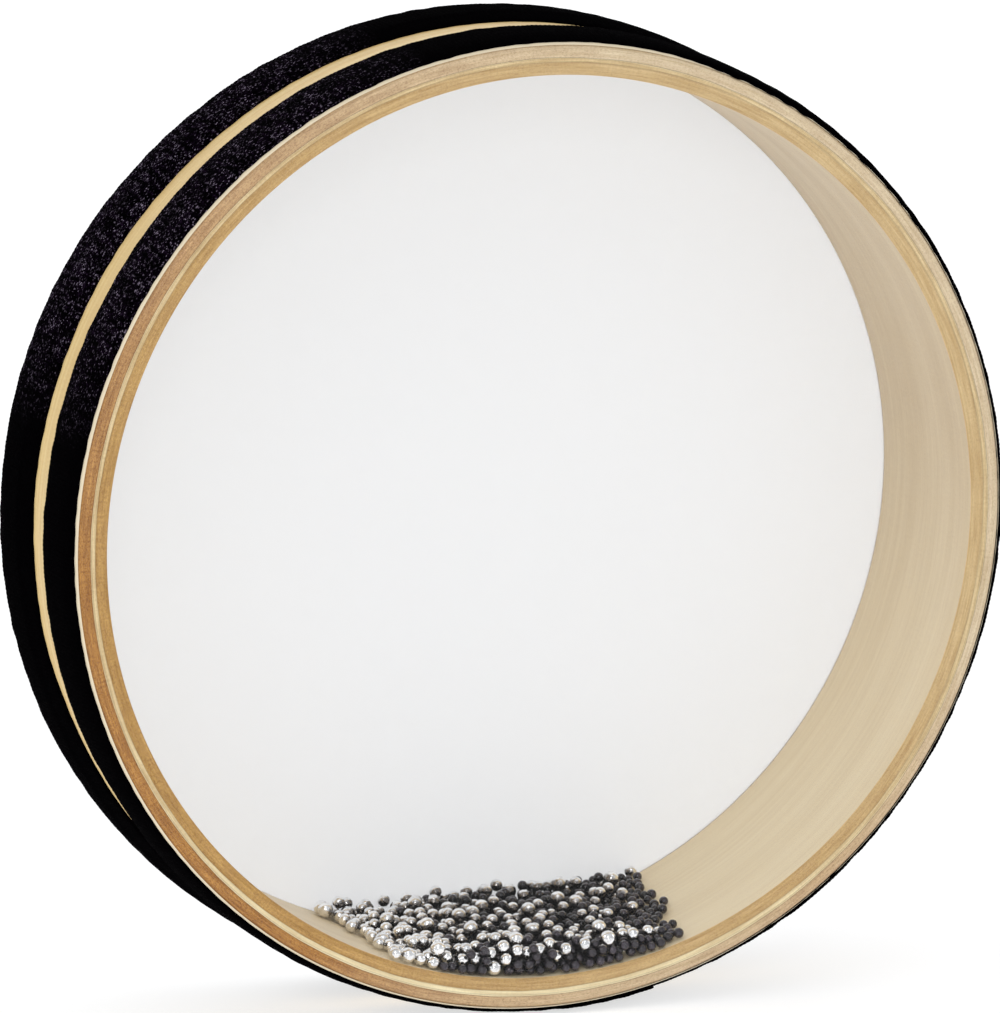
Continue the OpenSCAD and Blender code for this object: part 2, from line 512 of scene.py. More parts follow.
    def towards(self, degrees: float) -> bpy.types.NodeSocket:
        """How far a place on the wall lies towards an angle: 1 there, and -1 opposite.

        It is the dot product of the place and the unit vector at the angle, over the shell's
        radius.

        Args:
            degrees: The angle.

        Returns:
            The share.
        """
        angle = math.radians(degrees)
        way = np.array([math.cos(angle), 0.0, math.sin(angle)]) / SIZES.shell_r
        place = self.add("ShaderNodeTexCoord")
        product = self.add("ShaderNodeVectorMath")
        product.operation = "DOT_PRODUCT"
        self.link(place.outputs["Object"], product.inputs[0])
        product.inputs[1].default_value = tuple(way)
        return product.outputs["Value"]

    def depth_from_middle(self) -> bpy.types.NodeSocket:
        """Distance from the drum's middle along its axis, the same towards both heads.

        Returns:
            The distance in metres.
        """
        place = self.add("ShaderNodeTexCoord")
        parts = self.add("ShaderNodeSeparateXYZ")
        self.link(place.outputs["Object"], parts.inputs["Vector"])
        size = self.add("ShaderNodeMath")
        size.operation = "ABSOLUTE"
        self.link(parts.outputs["Y"], size.inputs[0])
        return size.outputs["Value"]

    def bump(self, height: bpy.types.NodeSocket, distance: float, strength: float) -> None:
        """Gives the shader a fine relief.

        Args:
            height: Height from 0 to 1.
            distance: Height in metres that 1 stands for.
            strength: Share of the relief that shows.
        """
        bump = self.add("ShaderNodeBump", Strength=strength, Distance=distance)
        self.link(height, bump.inputs["Height"])
        self.link(bump.outputs["Normal"], self.shader.inputs["Normal"])

    def set(self, **sockets: object) -> None:
        """Sets constant values on the shader's own sockets, with _ for a space."""
        for name, value in sockets.items():
            self.shader.inputs[name.replace("_", " ")].default_value = value

    def colour_from(self, colour: bpy.types.NodeSocket) -> None:
        """Gives the shader its colour."""
        self.link(colour, self.shader.inputs["Base Color"])

    def roughness_from(self, value: bpy.types.NodeSocket) -> None:
        """Gives the shader its roughness."""
        self.link(value, self.shader.inputs["Roughness"])


@dataclass(frozen=True)
class Tones:
    """The pale and the dark colour that a grain swings between."""

    pale: tuple[float, float, float]
    dark: tuple[float, float, float]


@dataclass(frozen=True)
class Grain:
    """Colours of one face of a veneer, and the size of its grain.

    The paler tones come in towards some angles, each between two shares of facing it. On the
    inner wall they are painted light, lighter towards the bottom.
    """

    deep: Tones
    paler_and_lit: Tones
    streaks_along: float
    streaks_across: float
    hatch: float
    pores: float
    mottle: float
    paler_and_lit_at: tuple[tuple[float, float, float], ...] = ((32.0, -0.85, 0.65), (286.0, 0.68, 1.05))


@dataclass(frozen=True)
class WoodFinish:
    """Lacquered veneer, with one grain on its face and another where it is cut.

    Broad tones, mottles, hatches and pores are clouds, given as units a metre along and across.
    """

    name: str
    face: Grain
    cut: Grain
    cut_depth: float
    layer_start: float = 0.0
    layer_end: float = 1.0
    lines: tuple[tuple[float, float], ...] = ()

    BROAD: ClassVar = (7.0, 90.0, 1.0)
    BROAD_TONE: ClassVar = (0.90, 0.87, 0.83)
    MOTTLE: ClassVar = (130.0, 520.0, 1.0)
    HATCH: ClassVar = (1300.0, 160.0, 1.0)
    PORES: ClassVar = (1500.0, 2400.0, 1.0)
    FINE: ClassVar = (90.0, 900.0, 1.0)
    PALER_AND_LIT_STRENGTH: ClassVar = 0.4
    CUT_BLEND: ClassVar = 0.15 * MM

    @staticmethod
    def paler_and_lit_share(nodes: Nodes, grain: Grain) -> bpy.types.NodeSocket:
        """Share of the paler tones at a place.

        Args:
            nodes: The material's nodes.
            grain: The grain.

        Returns:
            The share, from 0 to 1: the largest that any of the grain's paler angles gives.
        """
        total = None
        for degrees, start, end in grain.paler_and_lit_at:
            share = nodes.spread(nodes.towards(degrees), start, end, 0.0, 1.0)
            total = share if total is None else nodes.larger(total, share)
        return total

    def toned(
        self, nodes: Nodes, factor: bpy.types.NodeSocket, grain: Grain
    ) -> bpy.types.NodeSocket:
        """Colour of the streaks, from the deep tones on one side to the paler ones opposite.

        Args:
            nodes: The material's nodes.
            factor: The streaks.
            grain: The grain.

        Returns:
            The colour.
        """
        deep = nodes.ramp(factor, [(0.3, grain.deep.dark), (0.66, grain.deep.pale)])
        if grain.paler_and_lit == grain.deep:
            return deep
        paler_and_lit = nodes.ramp(factor, [(0.3, grain.paler_and_lit.dark), (0.66, grain.paler_and_lit.pale)])
        return nodes.mix(self.paler_and_lit_share(nodes, grain), deep, paler_and_lit)

    @staticmethod
    def warm_dark(depth: float) -> tuple[float, float, float]:
        """A tone to darken wood by, which takes more of its blue than of its red."""
        return (1.0 - 0.7 * depth, 1.0 - 0.9 * depth, 1.0 - depth)

    def layer_lines(self, nodes: Nodes) -> bpy.types.NodeSocket:
        """Thin lines that run round the ply's cut edge, by their share of its thickness.

        Args:
            nodes: The material's nodes.

        Returns:
            The tone to darken the edge by.
        """
        parts = nodes.add("ShaderNodeSeparateXYZ")
        nodes.link(nodes.surface_place((1.0, 1.0, 1.0)), parts.inputs["Vector"])
        share = nodes.spread(parts.outputs["Y"], self.layer_start, self.layer_end, 0.0, 1.0)
        return nodes.ramp(share, [(place, grey(tone)) for place, tone in self.lines])

    def grain_colour(self, nodes: Nodes, grain: Grain) -> bpy.types.NodeSocket:
        """Colour of one grain: a ramp over streaks, times a broad tone, strokes and pores.

        Args:
            nodes: The material's nodes.
            grain: The grain.

        Returns:
            The colour.
        """
        along, across = grain.streaks_along, grain.streaks_across
        streaks = nodes.noise(nodes.surface_place((along, across, 1.0)), detail=4.0, roughness=0.6)
        colour = self.toned(nodes, streaks, grain)
        layers = (
            (self.BROAD, 2.0, [(0.3, self.BROAD_TONE), (0.7, WHITE)]),
            (self.MOTTLE, 3.0, [(0.36, self.warm_dark(grain.mottle)), (0.6, WHITE)]),
            (self.HATCH, 2.0, [(0.3, self.warm_dark(grain.hatch)), (0.7, WHITE)]),
            (self.PORES, 2.0, [(0.34, self.warm_dark(grain.pores)), (0.52, WHITE)]),
        )
        strength = 1.0
        if grain.paler_and_lit != grain.deep:
            strength = nodes.spread(
                self.paler_and_lit_share(nodes, grain), 0.0, 1.0, 1.0, self.PALER_AND_LIT_STRENGTH
            )
        for scale, detail, stops in layers:
            veil = nodes.ramp(nodes.noise(nodes.surface_place(scale), detail, 0.65), stops)
            colour = nodes.mix(strength, colour, veil, "MULTIPLY")
        return colour

    def material(self) -> bpy.types.Material:
        """Builds the wood.

        Returns:
            The material. The cut grain shows where the wood comes close to the rim's plane.
        """
        nodes = Nodes(self.name)
        depth = nodes.depth_from_middle()
        start = SIZES.rim_y - self.cut_depth
        share = nodes.spread(depth, start - self.CUT_BLEND, start + self.CUT_BLEND, 0.0, 1.0)
        face = self.grain_colour(nodes, self.face)
        cut = self.grain_colour(nodes, self.cut)
        if self.lines:
            cut = nodes.mix(1.0, cut, self.layer_lines(nodes), "MULTIPLY")
        nodes.colour_from(nodes.mix(share, face, cut))
        fine = nodes.noise(nodes.surface_place(self.FINE))
        nodes.roughness_from(nodes.spread(fine, 0.3, 0.7, 0.56, 0.42))
        nodes.bump(fine, 0.05 * MM, 0.35)
        nodes.set(Coat_Weight=0.08, Coat_Roughness=0.3, Specular_IOR_Level=0.35)
        return nodes.material


@dataclass(frozen=True)
class FilmFinish:
    """Stretched polyester film, clear or white."""

    name: str
    colour: tuple[float, float, float]
    alpha: float
    roughness: float
    glow_through: float = 0.0
    unevenness: float = 0.985
    painted_shade_at: float = 112.0
    glow_depth: float = 3.0 * MM

    def material(self) -> bpy.types.Material:
        """Builds the film.

        Returns:
            The material, with a faint unevenness in its colour, gloss and relief. A film that
            lets light through gets painted shade: it is greyer towards one angle.
        """
        nodes = Nodes(self.name)
        cloud = nodes.noise(nodes.object_place(14.0), detail=2.0)
        low = tuple(self.unevenness * part for part in self.colour)
        colour = nodes.ramp(cloud, [(0.3, low), (0.7, self.colour)])
        if self.glow_through > 0.0:
            # Painted shade: the white head gets greyer towards its top.
            painted_head_shade = nodes.ramp(
                nodes.spread(nodes.towards(self.painted_shade_at), -0.95, 0.95, 0.0, 1.0),
                [(0.0, WHITE), (0.5, grey(0.91)), (1.0, grey(0.74))],
            )
            colour = nodes.mix(1.0, colour, painted_head_shade, "MULTIPLY")
        nodes.colour_from(colour)
        fine = nodes.noise(nodes.object_place(900.0), detail=2.0)
        nodes.roughness_from(
            nodes.spread(fine, 0.3, 0.7, self.roughness * 0.8, self.roughness * 1.2)
        )
        nodes.bump(cloud, 0.4 * MM, 0.25)
        nodes.set(Alpha=self.alpha, Subsurface_Weight=self.glow_through)
        nodes.set(Subsurface_Radius=WHITE, Subsurface_Scale=self.glow_depth)
        return nodes.material


@dataclass(frozen=True)
class GlueFinish:
    """Set glue: pale, slightly cloudy and smooth."""

    name: str = "set_glue"

    def material(self) -> bpy.types.Material:
        """Builds the glue.

        Returns:
            The material, mottled by a cloud of noise.
        """
        nodes = Nodes(self.name)
        cloud = nodes.noise(nodes.object_place(220.0))
        nodes.colour_from(
            nodes.ramp(cloud, [(0.3, (0.72, 0.66, 0.50)), (0.7, (0.84, 0.80, 0.68))])
        )
        nodes.roughness_from(nodes.spread(cloud, 0.3, 0.7, 0.3, 0.45))
        return nodes.material


@dataclass(frozen=True)
class TapeFinish:
    """Black ribbed tape, with a painted sheen on single threads."""

    name: str = "black_woven_tape"
    rib_pitch: float = 0.44 * MM
    thread_pitch: float = 0.34 * MM
    painted_sheen_at: float = 135.5
    painted_sheen_share: tuple[float, float] = (0.86, 0.975)

    def material(self) -> bpy.types.Material:
        """Builds the weave.

        Returns:
            The material. Threads are cells across the ribs. Some are pale with fluff, most of
            them on the drum's upper left.
        """
        nodes = Nodes(self.name)
        place = nodes.surface_place((1.0 / self.rib_pitch, 1.0 / self.thread_pitch, 1.0))
        cells = nodes.add("ShaderNodeTexVoronoi", Scale=1.0, Randomness=0.75)
        nodes.link(place, cells.inputs["Vector"])
        split = nodes.add("ShaderNodeSeparateColor")
        nodes.link(cells.outputs["Color"], split.inputs["Color"])
        picked = nodes.ramp(
            split.outputs["Red"],
            [
                (0.0, (0.0006, 0.0003, 0.0007)),
                (0.62, (0.0022, 0.0010, 0.0028)),
                (0.88, (0.015, 0.007, 0.020)),
                (1.0, (0.30, 0.25, 0.33)),
            ],
        )
        patch = nodes.ramp(
            nodes.noise(nodes.surface_place((620.0, 110.0, 1.0)), detail=2.0),
            [(0.38, grey(0.10)), (0.64, WHITE)],
        )
        # Painted sheen: pale threads only on the upper left, where the light catches the tape.
        painted_sheen = nodes.spread(nodes.towards(self.painted_sheen_at), *self.painted_sheen_share, 0.0, 1.0)
        pale = nodes.mix(1.0, picked, patch, "MULTIPLY")
        plain = nodes.ramp(
            split.outputs["Blue"],
            [(0.0, (0.0003, 0.0002, 0.0004)), (1.0, (0.001, 0.0007, 0.0011))],
        )
        nodes.colour_from(nodes.mix(painted_sheen, plain, pale))
        nodes.roughness_from(nodes.spread(split.outputs["Green"], 0.0, 1.0, 0.8, 1.0))
        nodes.bump(cells.outputs["Distance"], -0.25 * MM, 0.8)
        nodes.set(Specular_IOR_Level=0.002)
        return nodes.material


@dataclass(frozen=True)
class BeadFinish:
    """Metal of the beads, which differs a little from bead to bead."""

    name: str
    low: tuple[float, float, float]
    high: tuple[float, float, float]
    metallic: float
    roughness: tuple[float, float]
    coat: float
    tarnish: float
    dents: float

    def material(self) -> bpy.types.Material:
        """Builds the metal.

        Returns:
            The material. Its colour follows each bead's own tone, with a fine tarnish, and
            grime where other beads lie close.
        """
        nodes = Nodes(self.name)
        tone = nodes.add("ShaderNodeAttribute")
        tone.attribute_name = "tone"
        colour = nodes.ramp(tone.outputs["Fac"], [(0.0, self.low), (1.0, self.high)])
        # Painted shade: the colour darkens where other balls lie close and hide the open air.
        openness = nodes.add("ShaderNodeAttribute")
        openness.attribute_name = "openness"
        painted_crevice_shade = nodes.ramp(
            openness.outputs["Fac"],
            [(0.0, (0.22, 0.20, 0.185)), (0.12, (0.50, 0.48, 0.46)), (0.31, WHITE)],
        )
        colour = nodes.mix(1.0, colour, painted_crevice_shade, "MULTIPLY")
        tarnish = nodes.noise(nodes.object_place(800.0), detail=3.0, roughness=0.6)
        veil = nodes.ramp(tarnish, [(0.36, grey(self.tarnish)), (0.5, WHITE)])
        nodes.colour_from(nodes.mix(1.0, colour, veil, "MULTIPLY"))
        smooth, rough = self.roughness
        nodes.roughness_from(nodes.spread(tarnish, 0.35, 0.65, rough, smooth))
        nodes.bump(nodes.noise(nodes.object_place(1300.0), detail=1.0), 0.12 * MM, self.dents)
        nodes.set(Metallic=self.metallic, Coat_Weight=self.coat, Coat_Roughness=0.08, Coat_IOR=1.5)
        return nodes.material


def finish_piece(
    obj: bpy.types.Object,
    material: bpy.types.Material,
    body: Body,
    replaced: str,
) -> None:
    """Gives a new piece its finish and its body, and hides the CAD node that it stands for.

    Args:
        obj: The piece.
        material: Its finish.
        body: Body that it rides on.
        replaced: CAD node that it replaces.
    """
    obj.data.materials.clear()
    obj.data.materials.append(material)
    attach(obj, body.value)
    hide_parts(replaced)
    LOG.info("%s: %d faces on %s", obj.name, len(obj.data.polygons), body.value)


@dataclass(frozen=True)
class PlyLayer:
    """One ply of the shell, between two of the wall's surfaces."""

    node: str
    outer: int
    inner: int
    seam_a: float
    slot: Slot


@dataclass
class Shell:
    """The bent plywood wall: five plies whose boundaries waver as pressed veneers do.

    The wood ends a hair under the films, so that the two never share a plane.
    """

    sizes: DrumSizes = SIZES
    places: int = 540
    rim_points: int = 12
    wall_points: int = 9
    waver: float = 0.14 * MM
    pressed: float = 0.1 * MM
    pressed_swing: float = 0.12 * MM
    seam_gap: float = 0.03 * MM
    plies: tuple[PlyLayer, ...] = (
        PlyLayer("shell_outer_ply", 0, 1, 322.0, Slot.WOOD_FACE),
        PlyLayer("shell_outer_cross_ply", 1, 2, 48.0, Slot.WOOD_CROSS),
        PlyLayer("shell_core_ply", 2, 3, 104.0, Slot.WOOD_FACE),
        PlyLayer("shell_inner_cross_ply", 3, 4, 252.0, Slot.WOOD_CROSS),
        PlyLayer("shell_inner_ply", 4, 5, 158.0, Slot.WOOD_FACE),
    )

    def surface_radius(self, number: int, angle: np.ndarray) -> np.ndarray:
        """Radius of one of the wall's six surfaces, counted from the outside in.

        The outermost and innermost are true circles. The four between them waver, and the
        core is pressed thinner at the top than at the bottom.

        Args:
            number: Number of the surface.
            angle: Angles round the shell.

        Returns:
            The radius at each angle.
        """
        s = self.sizes
        radii = (
            s.shell_r,
            s.shell_r - s.face_ply_t,
            s.shell_r - s.face_ply_t - s.cross_ply_t,
            s.bore_r + s.face_ply_t + s.cross_ply_t,
            s.bore_r + s.face_ply_t,
            s.bore_r,
        )
        base = np.full_like(angle, radii[number])
        if number in (0, 5):
            return base
        if number in (2, 3):
            squeeze = self.pressed + self.pressed_swing * np.sin(angle)
            base = base + (squeeze if number == 3 else -squeeze)
        size = self.waver * (0.6 if number in (1, 4) else 1.0)
        slow = ring_wobble(angle, size, (3, 7, 13, 22, 37), 40 + number)
        return base + slow + ring_wobble(angle, 0.3 * size, (61, 83, 109, 131), 50 + number)

    def half_depth(self, r: np.ndarray) -> np.ndarray:
        """Half depth of the wall at a radius: flat, and a quarter circle at each edge.

        Args:
            r: Radii in the wall.

        Returns:
            Half depth at each radius.
        """
        s = self.sizes
        outer = np.clip(r - (s.shell_r - s.outer_edge_r), 0.0, s.outer_edge_r)
        inner = np.clip(s.bore_r + s.inner_edge_r - r, 0.0, s.inner_edge_r)
        outer_drop = s.outer_edge_r - np.sqrt(s.outer_edge_r**2 - outer**2)
        inner_drop = s.inner_edge_r - np.sqrt(s.inner_edge_r**2 - inner**2)
        return s.rim_y - HAIR - outer_drop - inner_drop

    def ply_object(self, ply: PlyLayer) -> bpy.types.Object:
        """Makes one ply: a loop round its section, carried from one side of its seam to the other.

        Args:
            ply: Which ply.

        Returns:
            The new object.
        """
        s = self.sizes
        seam = math.radians(ply.seam_a)
        gap = self.seam_gap / s.shell_r
        angle = np.linspace(seam, seam + TURN - gap, self.places)
        r_out = self.surface_radius(ply.outer, angle)
        r_in = self.surface_radius(ply.inner, angle)
        eased = (1.0 - np.cos(np.linspace(0.0, math.pi, self.rim_points))) / 2.0
        across = r_in[:, None] + (r_out - r_in)[:, None] * eased[None, :]
        depth = self.half_depth(across)
        down = np.linspace(-1.0, 1.0, self.wall_points)[1:-1]
        wall_out = np.broadcast_to(r_out[:, None], (self.places, len(down)))
        wall_in = np.broadcast_to(r_in[:, None], (self.places, len(down)))
        y_out, y_in = depth[:, -1:] * down[None, :], depth[:, :1] * -down[None, :]
        r = np.concatenate([across, wall_out, across[:, ::-1], wall_in], axis=1)
        y = np.concatenate([-depth, y_out, depth[:, ::-1], y_in], axis=1)
        x, z = r * np.cos(angle)[:, None], r * np.sin(angle)[:, None]
        grid = np.stack([x, y, z], axis=-1)
        steps = np.hypot(np.diff(r[0], append=r[0, 0]), np.diff(y[0], append=y[0, 0]))
        v = np.concatenate([[0.0], np.cumsum(steps)]) + ply.outer
        u = angle * s.shell_r
        return MeshMaker.tube_object(ply.node.replace("shell", "wood"), grid, u, v, round_=False)

    def finishes(self) -> dict[str, WoodFinish]:
        """Makes the finish of each ply.

        Returns:
            The finishes, by the plies' CAD nodes.
        """
        s = self.sizes
        brown = Tones((0.66, 0.34, 0.075), (0.38, 0.16, 0.022))
        fawn = Tones((0.82, 0.69, 0.475), (0.64, 0.50, 0.30))
        tan = Tones((0.68, 0.42, 0.13), (0.48, 0.27, 0.055))
        buff = Tones((0.72, 0.54, 0.28), (0.54, 0.36, 0.15))
        cream = Tones((0.89, 0.73, 0.42), (0.62, 0.45, 0.21))
        ivory = Tones((0.98, 0.87, 0.56), (0.76, 0.62, 0.36))
        straw = Tones((0.91, 0.71, 0.335), (0.82, 0.575, 0.23))
        lining = Tones((0.83, 0.695, 0.485), (0.77, 0.63, 0.425))
        lit_lining = Tones((0.97, 0.845, 0.59), (0.91, 0.77, 0.52))
        outer_cut = Grain(brown, fawn, 60.0, 1500.0, 0.26, 0.58, 0.32)
        inner_cut = Grain(tan, buff, 60.0, 1500.0, 0.22, 0.38, 0.26)
        core = Grain(cream, ivory, 60.0, 1500.0, 0.16, 0.14, 0.14, ((262.0, 0.4, 1.0),))
        outer = Grain(straw, straw, 12.0, 700.0, 0.06, 0.12, 0.06)
        # Painted light: the inner wall is lighter towards the bottom, where it faces up into the
        # light.
        inner = Grain(lining, lit_lining, 12.0, 700.0, 0.05, 0.12, 0.03, ((292.0, 0.2, 1.0),))
        depth = s.outer_edge_r
        core_t = s.shell_r - s.bore_r - 2.0 * (s.face_ply_t + s.cross_ply_t)
        return {
            "shell_outer_ply": WoodFinish("outer_face_veneer", outer, outer_cut, depth),
            "shell_outer_cross_ply": WoodFinish(
                "outer_cross_veneer", outer_cut, outer_cut, depth, 1.0, 1.0 + s.cross_ply_t,
                ((0.0, 0.55), (0.06, 0.72), (0.12, 1.0)),
            ),
            "shell_core_ply": WoodFinish(
                "core_veneer", core, core, depth, 2.0, 2.0 + core_t,
                ((0.0, 0.8), (0.12, 1.0), (0.42, 1.0), (0.5, 0.72), (0.58, 1.0), (0.9, 1.0)),
            ),
            "shell_inner_cross_ply": WoodFinish(
                "inner_cross_veneer", inner_cut, inner_cut, depth, 3.0, 3.0 + s.cross_ply_t,
                ((0.0, 1.0), (0.72, 1.0), (0.9, 0.84), (1.0, 0.70)),
            ),
            "shell_inner_ply": WoodFinish(
                "inner_face_veneer", inner, inner_cut, s.inner_edge_r, 4.0, 4.0 + s.face_ply_t,
                ((0.0, 1.35), (0.35, 1.3), (0.5, 1.0)),
            ),
        }

    def build(self) -> None:
        """Builds and dresses all five plies."""
        finishes = self.finishes()
        for ply in self.plies:
            obj = self.ply_object(ply)
            finish_piece(obj, finishes[ply.node].material(), Body.DRUM, ply.node)


@dataclass
class Heads:
    """The two films, each stretched over its rim and folded down the shell's side.

    Where the clear film bends, a painted highlight turns it pale cream. The white film lets light
    through, but not where it lies on the wood.
    """

    sizes: DrumSizes = SIZES
    places: int = 512
    bend_points: int = 10
    painted_highlight_w: float = 0.3 * MM

    def film_profile(self) -> tuple[np.ndarray, np.ndarray]:
        """The film's section: out along its face, round the bend, down the side and back inside.

        Returns:
            Radius and distance from the drum's middle of each point.
        """
        s = self.sizes
        bend_in = s.outer_edge_r + s.glue_t
        bend_out = bend_in + s.film_t
        centre_r, centre_y = s.film_r - bend_in, s.rim_y - bend_in
        turn = np.linspace(math.pi / 2.0, 0.0, self.bend_points)
        face_r = np.append(np.array([0.0, 0.25, 0.5, 0.75, 0.9]) * centre_r, s.bore_r)
        r = np.concatenate(
            [
                face_r,
                centre_r + bend_out * np.cos(turn),
                [s.film_r + s.film_t, s.film_r],
                centre_r + bend_in * np.cos(turn[::-1]),
                face_r[::-1],
            ]
        )
        y = np.concatenate(
            [
                np.full(len(face_r), s.head_y),
                centre_y + bend_out * np.sin(turn),
                [s.fold_end_y, s.fold_end_y],
                centre_y + bend_in * np.sin(turn[::-1]),
                np.full(len(face_r), s.rim_y),
            ]
        )
        return r, y

    @staticmethod
    def finish_outside(
        obj: bpy.types.Object, inner_r: float, material: bpy.types.Material
    ) -> None:
        """Gives the faces outside a circle a second finish.

        Args:
            obj: The head, already dressed.
            inner_r: Radius of the circle.
            material: The second finish.
        """
        mesh = obj.data
        mesh.materials.append(material)
        points = np.empty(len(mesh.vertices) * 3, dtype=np.float32)
        mesh.vertices.foreach_get("co", points)
        corners = np.empty(len(mesh.loops), dtype=np.int32)
        mesh.loops.foreach_get("vertex_index", corners)
        radius = np.hypot(points[0::3], points[2::3])
        outside = radius[corners.reshape(-1, 3)].min(axis=1) > inner_r - HAIR
        mesh.polygons.foreach_set("material_index", outside.astype(np.int32))

    def build(self) -> None:
        """Builds and dresses both heads."""
        r, y = self.film_profile()
        clear = FilmFinish("clear_head_film", (0.70, 0.715, 0.72), 0.01, 0.08).material()
        # A painted highlight: the clear film's bend gets a pale cream, nearly opaque finish.
        painted_highlight = FilmFinish("painted_highlight_film_bend", (1.0, 0.87, 0.63), 0.8, 0.5, 0.0, 0.93).material()
        white = FilmFinish("white_head_film", (0.80, 0.82, 0.85), 1.0, 0.5, 0.9).material()
        backed = FilmFinish("white_film_on_wood", (0.90, 0.905, 0.91), 1.0, 0.5).material()
        for side, name, node, material, slot, inner_r, second in (
            (
                Side.FRONT, "clear_head", "front_head_film", clear, Slot.CLEAR_FILM,
                self.sizes.shell_r - self.painted_highlight_w, painted_highlight,
            ),
            (
                Side.BACK, "white_head", "back_head_film", white, Slot.WHITE_FILM,
                self.sizes.bore_r, backed,
            ),
        ):
            obj = MeshMaker.disc_object(name, r, side.value * y, self.places)
            finish_piece(obj, material, Body.DRUM, node)
            self.finish_outside(obj, inner_r, second)


@dataclass
class EdgeTape:
    """One woven tape: a ribbed strip once round the drum, with its end lapped over its start."""

    name: str
    node: str
    side: Side
    lap_a: float
    seed: int
    drift: Drift
    near_drift: Drift = ((0.0, 0.0),)
    sizes: DrumSizes = SIZES
    ribs: int = 660
    rib_points: int = 4
    cross_points: int = 17
    rib_h: float = 0.05 * MM
    lump: float = 0.24 * MM
    edge_waver: float = 0.36 * MM
    ramp_turn: float = math.radians(9.0)

    @staticmethod
    def edge_drift(drift: Drift, angle: np.ndarray) -> np.ndarray:
        """How far one edge of the tape strays from its line, away from the drum's middle.

        It goes from one measured place to the next along half a cosine wave.

        Args:
            drift: Angles in degrees, and the straying at each in millimetres.
            angle: Angles round the drum, in radians.

        Returns:
            The straying at each angle, in metres.
        """
        places = np.array([place for place, _ in drift] + [drift[0][0] + 360.0])
        sizes = np.array([size for _, size in drift] + [drift[0][1]]) * MM
        turned = (np.degrees(angle) - places[0]) % 360.0 + places[0]
        after = np.clip(np.searchsorted(places, turned, side="right"), 1, len(places) - 1)
        share = (turned - places[after - 1]) / (places[after] - places[after - 1])
        eased = (1.0 - np.cos(math.pi * share)) / 2.0
        return sizes[after - 1] * (1.0 - eased) + sizes[after] * eased

    def section(self) -> tuple[np.ndarray, np.ndarray, np.ndarray]:
        """Section of the strip: over its outside from the rim inwards, then back underneath.

        Returns:
            Radius, distance from the drum's middle, and share of the ribs' height of each point.
        """
        s = self.sizes
        step = s.tape_r - s.shell_r
        foot = s.fold_end_y - step
        near, far = s.tape_near_y, s.tape_far_y
        share = (1.0 - np.cos(np.linspace(0.0, math.pi, self.cross_points))) / 2.0
        y_out = near - share * s.tape_w
        seat = s.shell_r + np.clip(y_out - foot, 0.0, step)
        swell = s.tape_crown * (1.0 - np.abs(2.0 * share - 1.0) ** s.crown_power)
        edge = np.clip(np.minimum(share, 1.0 - share) * s.tape_w / (0.4 * MM), 0.0, 1.0)
        rounded = 0.45 + 0.55 * np.sqrt(1.0 - (1.0 - edge) ** 2)
        r_out = seat + s.tape_t * rounded + swell
        r_in = [s.shell_r, s.shell_r, s.tape_r, s.tape_r, s.tape_r]
        y_in = [far + 0.05 * MM, foot, s.fold_end_y, near - 8.0 * MM, near - 0.05 * MM]
        ribbed = np.concatenate([np.sqrt(edge), np.zeros(len(r_in))])
        return np.concatenate([r_out, r_in]), np.concatenate([y_out, y_in]), ribbed

    def sunk_over_bend(self, y: np.ndarray) -> np.ndarray:
        """How far the tape sinks where it follows the film round its bend.

        Args:
            y: Distances from the drum's middle.

        Returns:
            What the radius loses at each.
        """
        s = self.sizes
        bend = s.outer_edge_r + s.glue_t + s.film_t
        over = np.clip(y - (s.head_y - bend), 0.0, 0.9 * bend)
        return bend - np.sqrt(bend**2 - over**2)

    def build(self, material: bpy.types.Material) -> None:
        """Builds and dresses the tape.

        The strip winds a little more than a turn. Its radius rises by its own thickness just
        before it meets its start, so the end lies on top of it. Ribs are a sine along the strip,
        and lumps are slow waves along and across it.

        Args:
            material: The weave.
        """
        s = self.sizes
        lap_turn = s.tape_lap / s.tape_r
        whole = TURN + lap_turn
        count = int(self.ribs * self.rib_points * whole / TURN)
        run = np.linspace(0.0, whole, count)
        angle = math.radians(self.lap_a) + run
        rise = np.clip((run - (TURN - self.ramp_turn)) / self.ramp_turn, 0.0, 1.0)
        rise = s.tape_t * rise * rise * (3.0 - 2.0 * rise)
        r0, y0, ribbed = self.section()
        rib = np.sin(self.ribs * run) * self.rib_h
        waves = (7, 17, 29, 61, 97, 131)
        lump_near = ring_wobble(angle, self.lump, waves, self.seed)
        lump_far = ring_wobble(angle, self.lump, waves, self.seed + 1)
        across = (s.tape_near_y - y0) / s.tape_w
        lumps = lump_near[:, None] * (1.0 - across) + lump_far[:, None] * across
        r = r0[None, :] + rise[:, None] + ribbed[None, :] * (rib[:, None] + lumps)
        near_edge = ring_wobble(angle, self.edge_waver, (9, 33, 71, 109, 149), self.seed + 2)
        far_edge = ring_wobble(angle, self.edge_waver, (8, 35, 67, 101, 151), self.seed + 3)
        y = y0[None, :] + near_edge[:, None] * (1.0 - across) ** 4 + far_edge[:, None] * across**4
        loose = np.clip((s.fold_end_y - y0) / s.tape_hold_w, 0.0, 1.0)
        y = y + self.edge_drift(self.drift, angle)[:, None] * loose
        y = y + self.edge_drift(self.near_drift, angle)[:, None] * (1.0 - across) ** 4
        r = r - self.sunk_over_bend(y)
        y = self.side.value * y
        grid = np.stack([r * np.cos(angle)[:, None], y, r * np.sin(angle)[:, None]], axis=-1)
        steps = np.hypot(np.diff(r0, append=r0[0]), np.diff(y0, append=y0[0]))
        v = np.concatenate([[0.0], np.cumsum(steps)])
        obj = MeshMaker.tube_object(self.name, grid, run * s.tape_r, v, round_=False)
        finish_piece(obj, material, Body.DRUM, self.node)


